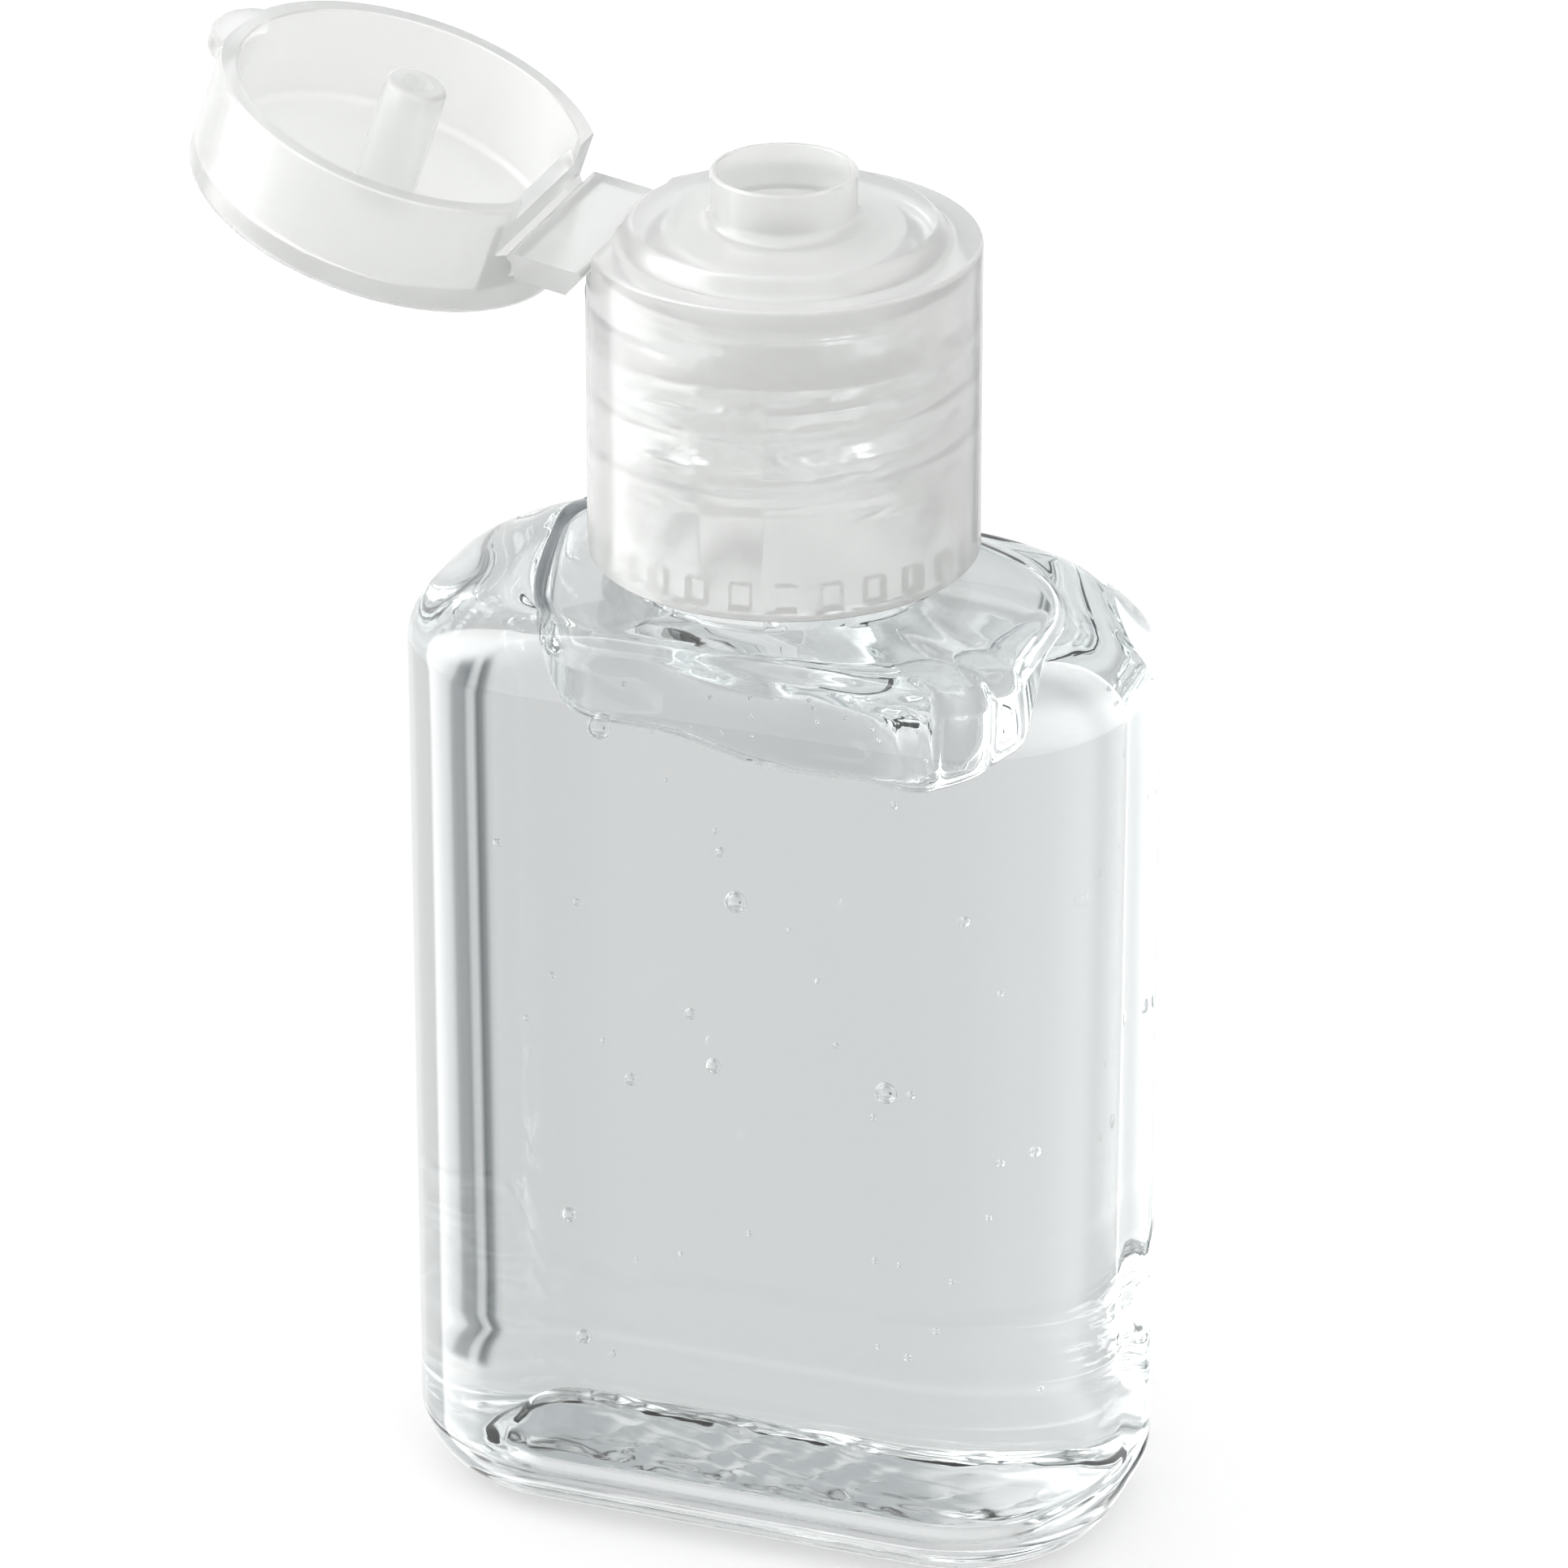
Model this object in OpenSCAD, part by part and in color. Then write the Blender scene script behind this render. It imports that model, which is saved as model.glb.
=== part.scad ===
// Flat bottle of clear hand gel with a screwed-on flip-top cap, its lid open.
// Sizes are in millimetres. X runs along the wide side, with the hinge on the -X side,
// Y runs to the back and Z up. The origin is on the ground, below the axis of the neck.

/* [Body] */
// Width of the body from end to end
body_w = 43.6; // [40:0.1:56]
// Depth of the body from front to back
body_d = 23.9; // [23.5:0.1:32]
// Radius of the four upright corners
corner_r = 10; // [8:0.1:10.8]
// Height at which the upright walls end
wall_top = 53.4; // [40:0.1:80]
// Height of the curve from the walls to the deck
shoulder_rise = 4.4; // [3:0.1:6]
// How far each end draws in over the shoulder
shoulder_in_x = 6.5; // [4:0.1:7]
// How far the front and the back draw in over the shoulder
shoulder_in_y = 1.7; // [1:0.1:1.8]
// Rise of the deck from the shoulder to the neck
deck_rise = 1.2; // [0.8:0.1:2]
// Rounding between the walls and the base
base_edge_r = 4.25; // [3:0.05:5]
// Width of the flat ring that the bottle stands on
foot_w = 1.2; // [0.8:0.1:2]
// Depth of the hollow under the base
push_up = 1.1; // [0.6:0.1:1.6]
// Thickness of the body's walls
wall_t = 0.8; // [0.6:0.05:1.2]
// Thickness of the base
base_t = 2; // [1.2:0.1:3]

/* [Neck] */
// Outer diameter of the neck, between the threads
neck_d = 17.8; // [17:0.1:18.2]
// Height of the neck above the deck
neck_h = 17.7; // [14:0.1:22]
// Thickness of the neck's wall
neck_wall = 1.2; // [0.9:0.05:1.6]
// Diameter of the bead round the foot of the neck
bead_d = 19.2; // [18.8:0.1:19.6]
// Height of the bead
bead_h = 0.8; // [0.5:0.1:1]
// Room for the thread between the neck and the cap
thread_room = 1.2; // [0.9:0.05:1.3]

/* [Gel] */
// Film of clearance between the gel and the bottle
gel_gap = 0.05; // [0.03:0.01:0.1]
// Where the air pocket starts, left of the axis
pocket_left = 11.2; // [9:0.1:13]
// Where the air pocket ends, right of the axis
pocket_right = 15.6; // [11:0.1:16]
// Width of the air pocket from front to back
pocket_w = 19; // [14:0.1:19.5]
// Depth of the air pocket below the deck at its left end
pocket_deep_left = 4.8; // [3.5:0.1:7]
// Depth of the air pocket below the deck at its right end
pocket_deep_right = 6; // [4:0.1:9]
// Radius of the pocket's rounded ends
pocket_r = 3.9; // [3:0.1:4.5]

/* [Cap] */
// Outer diameter of the cap
cap_d = 22.5; // [22.3:0.1:24]
// Rounding of the cap's upper edge
cap_edge_r = 0.3; // [0.1:0.05:0.6]
// Gap between the deck and the foot of the skirt
skirt_lift = 1.2; // [1:0.1:3]
// Gap between the neck's mouth and the cap's panel
seat_gap = 0.1; // [0.05:0.05:0.2]
// Thickness of the cap's panel at its ledge
panel_t = 2.2; // [2:0.1:3]
// Height of the thick collar inside the top of the skirt
collar_h = 1.8; // [1.5:0.1:3]
// Gap between the collar and the neck
collar_gap = 0.15; // [0.1:0.05:0.25]
// Diameter of the raised plateau
step_d = 19; // [16:0.1:19.4]
// Height of the plateau above the ledge
step_h = 1.1; // [0.6:0.1:1.2]
// Slant of the plateau's edge
step_slant = 0.7; // [0.3:0.1:1.2]
// Height of the windows moulded inside the foot of the skirt
window_h = 1.6; // [1:0.1:2.4]
// Width of each window
window_w = 1.2; // [0.8:0.1:1.6]
// Depth of each window into the skirt's wall
window_deep = 0.55; // [0.3:0.05:0.7]
// Height of the lip below the windows
lip_h = 0.5; // [0.3:0.1:1]
// Number of windows round the skirt
window_n = 26; // [16:1:32]

/* [Nozzle] */
// Outer diameter of the nozzle
nozzle_d = 8.4; // [7:0.1:10]
// Height of the nozzle above the plateau
nozzle_h = 3; // [2:0.1:4]
// Thickness of the nozzle's wall
nozzle_wall = 0.35; // [0.3:0.05:0.7]
// Depth of the nozzle's cup
nozzle_deep = 3.5; // [2.5:0.1:3.9]
// Thickness of the nozzle's floor
floor_t = 0.7; // [0.5:0.05:0.9]
// Gap between the stopper pin and its hole
pin_gap = 0.2; // [0.15:0.05:0.3]
// Length of the sealing ring that reaches into the neck
seal_h = 3; // [2:0.1:4]
// Thickness of the sealing ring
seal_t = 0.8; // [0.6:0.05:1.2]
// Gap between the sealing ring and the neck's bore
seal_gap = 0.06; // [0.04:0.01:0.1]

/* [Hinge] */
// Width of the hinge strap
hinge_w = 13.2; // [11.5:0.1:13.4]
// Length of the strap between its two folds
strap_len = 4; // [3.8:0.1:4.6]
// Thickness of the strap at its folds
film_t = 0.5; // [0.4:0.05:0.6]
// How far the strap's outer face stands out from its folds
strap_out = 1.25; // [0.8:0.05:1.3]
// Bevel at both ends of the strap's outer face
strap_bevel = 0.45; // [0.3:0.05:0.7]
// How far the folds stand out from the flat beside them
fold_out = 0.9; // [0.8:0.05:1.1]
// Gap round each fold
fold_gap = 0.1; // [0.08:0.01:0.15]
// Depth of the shelf that carries the strap, below the cap's ledge
shelf_deep = 1.7; // [1.5:0.05:1.8]
// Height of the relief beyond each fold that the strap turns into
relief_h = 1.5; // [1.4:0.1:1.6]
// Angle that each fold has turned through when the lid is open
fold_open = 80.65; // [70:0.05:88]

/* [Lid] */
// Height of the lid from its rim to its outer face
lid_h = 7; // [6.4:0.1:9]
// Thickness of the lid's side wall
lid_wall = 1.1; // [0.8:0.05:1.2]
// Thickness of the lid's end
lid_top_t = 1.1; // [0.8:0.05:1.5]
// Rounding of the lid's outer edge
lid_edge_r = 0.7; // [0.3:0.1:1]
// Gap between the closed lid and the cap
lid_gap = 0.1; // [0.05:0.05:0.2]
// Thickness of the flat wall beside the hinge
chord_t = 0.9; // [0.7:0.05:1.2]
// Gap between the flat wall and the plateau under it
chord_gap = 0.3; // [0.2:0.05:0.5]
// Diameter of the stopper pin
pin_d = 3.6; // [3:0.1:4]
// How far the pin reaches beyond the lid's rim
pin_reach = 1.5; // [1:0.1:1.8]
// Rounding of the pin's tip
pin_tip_r = 0.35; // [0.2:0.05:0.5]
// Diameter of the dimple in the pin's tip
dimple_d = 1.8; // [1:0.1:2.2]
// Depth of the dimple
dimple_deep = 1.2; // [0.5:0.1:3]
// Width of the thumb tab
tab_w = 5.6; // [4:0.1:8]
// How far the thumb tab stands out from the lid
tab_out = 1.15; // [0.8:0.05:1.8]
// Thickness of the thumb tab
tab_t = 1.3; // [0.9:0.1:2]

/* [Hidden] */

corner_steps = 10;
curve_steps = 6;
deck_steps = 4;
round_fn = 96;
small_fn = 48;
blob_fn = 28;
push_slope = 1.6;
least_r = 0.6;
overlap = 0.4;
beyond = 20;

deck_z = wall_top + shoulder_rise;
deck_top = deck_z + deck_rise;
neck_r = neck_d / 2;
bore_r = neck_r - neck_wall;
deck_eye_r = bead_d / 2 + least_r;
neck_top = deck_top + neck_h;

cap_r = cap_d / 2;
skirt_in_r = neck_r + thread_room;
skirt_z = deck_top + skirt_lift;
panel_z = neck_top + seat_gap;
ledge_z = panel_z + panel_t;
step_z = ledge_z + step_h;
nozzle_r = nozzle_d / 2;
nozzle_in_r = nozzle_r - nozzle_wall;
nozzle_top = step_z + nozzle_h;
nozzle_floor = nozzle_top - nozzle_deep;
hole_r = pin_d / 2 + pin_gap;
collar_r = neck_r + collar_gap;

flat_x = sqrt(pow(cap_r, 2) - pow(hinge_w / 2, 2));
fold_x = -(flat_x + fold_out);
relief_x = -fold_x - fold_gap;
shelf_z = ledge_z - shelf_deep;
cap_fold_z = shelf_z + fold_gap + film_t / 2;
lid_fold_z = cap_fold_z + strap_len;
lid_open = 2 * fold_open;
lid_fold_open = [fold_x - strap_len * sin(fold_open), cap_fold_z + strap_len * cos(fold_open)];

rim_z = ledge_z + lid_gap;
lid_top = rim_z + lid_h;
lid_in_r = cap_r - lid_wall;
chord_z = step_z + chord_gap;
lid_shelf_z = lid_fold_z + fold_gap + film_t / 2;

// One level of the body: a rounded rectangle, its points running anticlockwise from above
function level(w, d, r, z) =
    let (rr = min(r, w / 2, d / 2))
    [for (q = [0:3], k = [0:corner_steps])
        let (a = 90 * q + 90 * k / corner_steps,
             sx = (q == 0 || q == 3) ? 1 : -1,
             sy = q < 2 ? 1 : -1)
        [sx * (w / 2 - rr) + rr * cos(a), sy * (d / 2 - rr) + rr * sin(a), z]];

// A level drawn in by the same distance all round
function level_in(inset, z) =
    level(body_w - 2 * inset, body_d - 2 * inset, max(corner_r - inset, least_r), z);

function mix(a, b, t) = a * (1 - t) + b * t;

// Levels of the body's skin, t inside the outer face, with the base raised by b
function body_levels(t, b, neck_radius) =
    let (edge = base_edge_r - t,
         foot_in = base_edge_r + foot_w,
         top_w = body_w - 2 * t - 2 * shoulder_in_x,
         top_d = body_d - 2 * t - 2 * shoulder_in_y,
         top_r = min(corner_r - t, top_d / 2),
         rise = shoulder_rise - t)
    concat(
        [level_in(foot_in + push_slope, push_up + b)],
        [for (k = [-1:curve_steps])
            let (a = 90 * max(k, 0) / curve_steps)
            k < 0 ? level_in(foot_in, b)
                  : level_in(t + edge * (1 - sin(a)), b + edge * (1 - cos(a)))],
        [for (k = [0:curve_steps])
            let (a = 90 * k / curve_steps, in = 1 - cos(a))
            level(body_w - 2 * t - 2 * shoulder_in_x * in, body_d - 2 * t - 2 * shoulder_in_y * in,
                  corner_r - t, wall_top + rise * sin(a))],
        [for (k = [1:deck_steps])
            let (s = k / deck_steps)
            level(mix(top_w, 2 * neck_radius, s), mix(top_d, 2 * neck_radius, s),
                  mix(top_r, neck_radius, s), deck_z - t + deck_rise * s)]);

// A closed skin through a stack of levels
module loft(levels) {
    n = len(levels[0]);
    last = len(levels) - 1;
    polyhedron(
        points = [for (l = levels, p = l) p],
        faces = concat(
            [[for (j = [0:n - 1]) j]],
            [for (i = [0:last - 1], j = [0:n - 1])
                [i * n + j, (i + 1) * n + j, (i + 1) * n + (j + 1) % n, i * n + (j + 1) % n]],
            [[for (j = [n - 1:-1:0]) last * n + j]]),
        convexity = 6);
}

// Blown shell: body, deck, bead and plain neck in one piece
module bottle() color([0.86, 0.9, 0.92, 0.35]) difference() {
    union() {
        loft(body_levels(0, 0, deck_eye_r));
        translate([0, 0, deck_top - overlap])
            cylinder(r = neck_r, h = neck_h + overlap, $fn = round_fn);
        translate([0, 0, deck_top - overlap])
            cylinder(d = bead_d, h = bead_h + overlap, $fn = round_fn);
    }
    loft(body_levels(wall_t, base_t, bore_r + least_r));
    translate([0, 0, deck_top - wall_t - overlap])
        cylinder(r = bore_r, h = neck_h + beyond, $fn = round_fn);
}

// Air above the gel: a slanting pocket with round ends, under the neck and to its right
module air_pocket() hull()
    for (side = [-1, 1], end = [[-pocket_left + pocket_r, pocket_deep_left],
                                [pocket_right - pocket_r, pocket_deep_right]])
        translate([end[0], side * (pocket_w / 2 - pocket_r), deck_z - wall_t - end[1] + pocket_r])
            sphere(r = pocket_r, $fn = blob_fn);

// Gel filling the body up to the air pocket
module gel() color([0.84, 0.87, 0.88, 0.6]) difference() {
    loft(body_levels(wall_t + gel_gap, base_t + gel_gap, bore_r));
    air_pocket();
    translate([0, 0, deck_z - wall_t - pocket_deep_left / 2])
        cylinder(r = bore_r - least_r, h = beyond, $fn = round_fn);
}

// Half section of the cap, turned round the neck's axis
module cap_section() {
    seal_r = bore_r - seal_gap;
    polygon([
        [skirt_in_r, skirt_z], [cap_r, skirt_z], [cap_r, ledge_z - cap_edge_r],
        for (a = [30:30:90])
            [cap_r - cap_edge_r * (1 - cos(a)), ledge_z - cap_edge_r * (1 - sin(a))],
        [step_d / 2, ledge_z], [step_d / 2 - step_slant, step_z],
        [nozzle_r + nozzle_wall, step_z], [nozzle_r, step_z + nozzle_wall],
        [nozzle_r, nozzle_top], [nozzle_in_r, nozzle_top], [nozzle_in_r, nozzle_floor],
        [hole_r, nozzle_floor], [hole_r, nozzle_floor - floor_t],
        [seal_r - seal_t, nozzle_floor - floor_t], [seal_r - seal_t, panel_z - seal_h],
        [seal_r - seal_t / 2, panel_z - seal_h], [seal_r, panel_z - seal_h + seal_t],
        [seal_r, panel_z], [collar_r, panel_z], [collar_r, panel_z - collar_h],
        [skirt_in_r, panel_z - collar_h - (skirt_in_r - collar_r)]
    ]);
}

// Flat cut from -X to the plane x = -depth, over a range of heights
module flat_cut(depth, low, high)
    translate([-depth - beyond, -beyond, low])
        cube([beyond, 2 * beyond, high - low]);

// Screw cap with skirt, sealing ring, plateau and nozzle
module cap() color([0.93, 0.94, 0.94, 0.8]) difference() {
    rotate_extrude($fn = round_fn) cap_section();
    flat_cut(flat_x, shelf_z, ledge_z + beyond);
    flat_cut(relief_x, shelf_z - relief_h, shelf_z + overlap);
    for (k = [0:window_n - 1])
        rotate([0, 0, 360 * k / window_n])
            translate([skirt_in_r - overlap, -window_w / 2, skirt_z + lip_h])
                cube([overlap + window_deep, window_w, window_h]);
}

// Places a piece modelled with the lid shut where the open hinge carries it
module with_strap() translate([fold_x, 0, cap_fold_z]) rotate([0, -fold_open, 0])
    translate([-fold_x, 0, -cap_fold_z]) children();
module with_lid() translate([lid_fold_open[0], 0, lid_fold_open[1]]) rotate([0, -lid_open, 0])
    translate([-fold_x, 0, -lid_fold_z]) children();

// Strap between the two folds, thick in the middle and thin at both ends
module hinge_strap() color([0.93, 0.94, 0.94, 0.8]) with_strap() {
    rotate([90, 0, 0]) linear_extrude(hinge_w, center = true)
        polygon([
            [fold_x + film_t / 2, cap_fold_z], [fold_x + film_t / 2, lid_fold_z],
            [fold_x - film_t / 2, lid_fold_z], [fold_x - strap_out, lid_fold_z - strap_bevel],
            [fold_x - strap_out, cap_fold_z + strap_bevel], [fold_x - film_t / 2, cap_fold_z]]);
    for (z = [cap_fold_z, lid_fold_z])
        translate([fold_x, 0, z]) rotate([90, 0, 0])
            cylinder(d = film_t, h = hinge_w, center = true, $fn = small_fn);
}

// Half section of the lid's cup, shut
module lid_section() {
    polygon([
        [0, lid_top], [0, lid_top - lid_top_t], [lid_in_r, lid_top - lid_top_t],
        [lid_in_r, rim_z], [cap_r, rim_z], [cap_r, lid_top - lid_edge_r],
        for (a = [15:15:90])
            [cap_r - lid_edge_r * (1 - cos(a)), lid_top - lid_edge_r * (1 - sin(a))]
    ]);
}

// Half section of the stopper pin, with a rounded tip and a dimple
module pin_section() {
    tip_z = rim_z - pin_reach;
    pin_r = pin_d / 2;
    polygon([
        [0, lid_top - lid_top_t / 2], [pin_r, lid_top - lid_top_t / 2], [pin_r, tip_z + pin_tip_r],
        for (a = [30:30:90])
            [pin_r - pin_tip_r * (1 - cos(a)), tip_z + pin_tip_r * (1 - sin(a))],
        [dimple_d / 2, tip_z], [dimple_d / 2, tip_z + dimple_deep], [0, tip_z + dimple_deep]
    ]);
}

// Thumb tab: the part of a disc that stands out from the rim
module thumb_tab() {
    tab_r = (pow(tab_w / 2, 2) + pow(tab_out, 2)) / (2 * tab_out);
    difference() {
        translate([cap_r + tab_out - tab_r, 0, rim_z])
            cylinder(r = tab_r, h = tab_t, $fn = round_fn);
        translate([0, 0, rim_z - overlap])
            cylinder(r = cap_r - lid_wall / 2, h = tab_t + 2 * overlap, $fn = round_fn);
        translate([-beyond, -beyond, rim_z - overlap])
            cube([beyond, 2 * beyond, tab_t + 2 * overlap]);
    }
}

// Lid: a shallow cup with a flat wall beside the hinge, a stopper pin and a thumb tab
module lid() color([0.94, 0.95, 0.95, 0.8]) with_lid() {
    difference() {
        union() {
            rotate_extrude($fn = round_fn) lid_section();
            intersection() {
                translate([0, 0, chord_z])
                    cylinder(r = cap_r - lid_wall / 2, h = lid_top - lid_top_t / 2 - chord_z, $fn = round_fn);
                translate([-cap_r, -cap_r, chord_z])
                    cube([cap_r - flat_x + chord_t, cap_d, lid_h]);
            }
        }
        flat_cut(flat_x, rim_z - overlap, lid_shelf_z);
        flat_cut(relief_x, lid_shelf_z - overlap, lid_shelf_z + relief_h);
    }
    rotate_extrude($fn = small_fn) pin_section();
    thumb_tab();
}

bottle();
gel();
cap();
hinge_strap();
lid();
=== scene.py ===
"""Flat bottle of clear hand gel with a translucent flip-top cap, its lid standing open.

Shapes are worked out in millimetres, as the part's source has them, and stored in metres.
"""
import math

import bpy
import bmesh
from mathutils import Matrix, Vector


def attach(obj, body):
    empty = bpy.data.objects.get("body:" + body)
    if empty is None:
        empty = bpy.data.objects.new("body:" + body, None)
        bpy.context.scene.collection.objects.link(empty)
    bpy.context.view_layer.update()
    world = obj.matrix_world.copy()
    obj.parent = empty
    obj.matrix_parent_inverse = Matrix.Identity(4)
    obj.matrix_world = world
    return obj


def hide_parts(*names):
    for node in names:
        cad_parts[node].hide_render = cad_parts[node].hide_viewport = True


MM = 0.001

# Body, as in the part's source
BODY_W, BODY_D, CORNER_R = 43.6, 23.9, 10.0
WALL_TOP, SHOULDER_RISE, SHOULDER_X, SHOULDER_Y = 53.4, 4.4, 6.5, 1.7
DECK_RISE, BASE_EDGE, FOOT_W, PUSH_UP, PUSH_SLOPE = 1.2, 4.25, 1.2, 1.1, 1.6
WALL_T, BASE_T, GEL_GAP = 0.8, 2.0, 0.05
RIPPLE_IN, RIPPLE_OUT, BASE_CROWN = 0.14, 0.05, 0.25
DECK_Z = WALL_TOP + SHOULDER_RISE
DECK_TOP = DECK_Z + DECK_RISE

# Neck
NECK_R, NECK_H, NECK_WALL, BEAD_R, BEAD_H = 8.9, 17.7, 1.2, 9.6, 0.8
BORE_R = NECK_R - NECK_WALL
NECK_TOP = DECK_TOP + NECK_H
THREAD_CREST, THREAD_PITCH, THREAD_W = 9.88, 3.2, 1.5
THREAD_LOW, THREAD_HIGH = 66.2, 74.6

# Cap
CAP_R, SKIRT_IN_R, SKIRT_Z = 11.25, 10.1, DECK_TOP + 1.2
PANEL_Z = NECK_TOP + 0.1
LEDGE_Z = PANEL_Z + 2.2
STEP_R, STEP_Z, STEP_SLANT = 9.5, LEDGE_Z + 1.1, 0.7
COLLAR_R, COLLAR_H = NECK_R + 0.15, 1.8
NOZZLE_R, NOZZLE_WALL, NOZZLE_TOP = 4.2, 0.35, STEP_Z + 3.0
NOZZLE_FLOOR = NOZZLE_TOP - 3.5
HOLE_R, FLOOR_T = 2.0, 0.7
SEAL_R, SEAL_T, SEAL_H = BORE_R - 0.06, 0.8, 3.0
WINDOWS, WINDOW_W, WINDOW_H, WINDOW_DEEP, LIP_H = 26, 1.2, 1.6, 0.9, 0.5
RIB_CREST = 9.96

# Hinge
HINGE_W, STRAP_LEN, FILM_T, FOLD_GAP, RELIEF_H = 13.2, 4.0, 0.5, 0.1, 1.5
STRAP_OUT, STRAP_BEVEL = 1.25, 0.45
FLAT_X = math.sqrt(CAP_R ** 2 - (HINGE_W / 2) ** 2)
FOLD_X = -(FLAT_X + 0.9)
RELIEF_X = -FOLD_X - FOLD_GAP
SHELF_Z = LEDGE_Z - 1.7
CAP_FOLD_Z = SHELF_Z + FOLD_GAP + FILM_T / 2
LID_FOLD_Z = CAP_FOLD_Z + STRAP_LEN
FOLD_OPEN = math.radians(80.65)

# Lid, as it sits when shut
RIM_Z, LID_H, LID_WALL, LID_TOP_T, LID_EDGE = LEDGE_Z + 0.1, 7.0, 1.1, 1.1, 0.7
LID_TOP = RIM_Z + LID_H
LID_IN_R = CAP_R - LID_WALL
CHORD_Z, CHORD_T = STEP_Z + 0.3, 0.9
LID_SHELF_Z = LID_FOLD_Z + FOLD_GAP + FILM_T / 2
PIN_R, PIN_REACH, PIN_TIP, DIMPLE_R, DIMPLE_DEEP = 1.8, 1.5, 0.35, 0.9, 1.2
TAB_W, TAB_OUT, TAB_T, TAB_EDGE = 5.6, 1.15, 1.3, 0.25
MID_WALL_R, MID_TOP_Z = CAP_R - LID_WALL / 2, LID_TOP - LID_TOP_T / 2

# Optics
PET_IOR, GEL_IOR, PP_IOR = 1.57, 1.36, 1.49

# Light: how much of itself the floor adds where the background shows, and the level of the sky
FLOOR_LIFT, SKY_LEVEL = 0.5, 1.28
FLOOR_REACH, FLOOR_Z = 3000, -0.02

# Studio walls that glass and gloss show: azimuth in degrees from +Y towards +X, level, blueness
WALL_PEAK = 4.2
WALLS = [(-180, 1.0, 0.0), (-150, 1.0, 0.0), (-128, 1.4, 0.0), (-112, 3.6, 0.0), (-84, 4.2, 0.0),
         (-79, 0.95, 0.0), (-68, 1.0, 0.0), (-57, 1.05, 0.0), (-50, 1.25, 0.0), (-38, 1.12, 0.0),
         (-25, 1.05, 0.0), (-10, 1.0, 0.0), (100, 1.0, 0.0), (180, 1.0, 0.0)]

# Shaded strips on the walls, as shares of their light, and the heights between which they stand
STRIPS = [(-180, 1.0, 0.0), (0.0, 1.0, 0.0),
          (2.2, 0.8, 0.03), (3.2, 0.08, 0.2), (4.2, 0.15, 0.15), (5.2, 0.85, 0.0), (6.5, 0.85, 0.02),
          (8.5, 0.15, 0.2), (12, 0.1, 0.2), (15, 0.7, 0.03), (22, 1.0, 0.0), (180, 1.0, 0.0)]
STRIP_HEIGHTS = [(-90, 0.0, 0.0), (-37, 0.0, 0.0), (-32, 1.0, 0.0), (-20, 1.0, 0.0), (-16, 0.0, 0.0),
                 (90, 0.0, 0.0)]

# Light from above the horizon, as shares by azimuth, and the heights at which it holds
UPPER = [(-180, 0.7, 0.0), (-90, 0.9, 0.0), (-55, 1.0, 0.0), (-42, 0.9, 0.0), (-30, 0.8, 0.0),
         (-18, 0.5, 0.04), (5, 0.55, 0.04), (40, 0.7, 0.0), (180, 0.7, 0.0)]
UPPER_HEIGHTS = [(-90, 0.0, 0.0), (-5, 0.0, 0.0), (10, 1.0, 0.0), (90, 1.0, 0.0)]

# The walls' light by height: elevation in degrees, level, blueness
HEIGHT_PEAK = 1.4
HEIGHTS = [(-90, 0.8, 0.0), (-50, 0.8, 0.0), (-40, 1.12, 0.0), (-34, 1.12, 0.0), (-29, 1.0, 0.0),
           (-5, 1.0, 0.0), (10, 1.4, 0.0), (90, 1.4, 0.0)]

# Camera fitted to the photograph: place in mm, axes and lens
CAM_PLACE = (172.49, -468.66, 281.58)
CAM_RIGHT = (0.93855, 0.34515, -0.00063)
CAM_UP = (-0.14729, 0.40217, 0.90364)
CAM_BACK = (0.31215, -0.84802, 0.42829)
CAM_LENS = 219.3

# Steps of the meshes
CORNER_STEPS, FLAT_X_STEPS, FLAT_Y_STEPS = 26, 10, 2
ROUND_STEPS = 192
HUB_STEPS, SLOPE_STEPS, EDGE_STEPS, WALL_STEPS = 20, 8, 16, 12
SOLE_RINGS = HUB_STEPS - 1 + SLOPE_STEPS
FLOOR_RINGS = 40
BEYOND = 20.0

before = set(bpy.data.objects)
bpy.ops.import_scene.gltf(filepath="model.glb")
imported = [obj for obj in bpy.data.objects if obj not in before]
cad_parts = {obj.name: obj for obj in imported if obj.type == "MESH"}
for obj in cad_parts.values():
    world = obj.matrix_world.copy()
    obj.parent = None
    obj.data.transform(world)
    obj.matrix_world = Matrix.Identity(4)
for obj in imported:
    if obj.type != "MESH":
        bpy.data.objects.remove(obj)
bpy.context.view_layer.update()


# Meshes

def add_object(name, points, faces, face_mats=None):
    """A mesh object from points in mm, its normals facing out."""
    mesh = bpy.data.meshes.new(name)
    mesh.from_pydata([[c * MM for c in p] for p in points], [], faces)
    if face_mats:
        mesh.polygons.foreach_set("material_index", face_mats)
    bm = bmesh.new()
    bm.from_mesh(mesh)
    bmesh.ops.recalc_face_normals(bm, faces=bm.faces)
    bm.to_mesh(mesh)
    bm.free()
    obj = bpy.data.objects.new(name, mesh)
    bpy.context.scene.collection.objects.link(obj)
    return obj


def object_from(name, bm):
    mesh = bpy.data.meshes.new(name)
    bm.to_mesh(mesh)
    bm.free()
    obj = bpy.data.objects.new(name, mesh)
    bpy.context.scene.collection.objects.link(obj)
    return obj


def smooth(obj, angle):
    obj.data.shade_smooth()
    obj.data.set_sharp_from_angle(angle=math.radians(angle))


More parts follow.
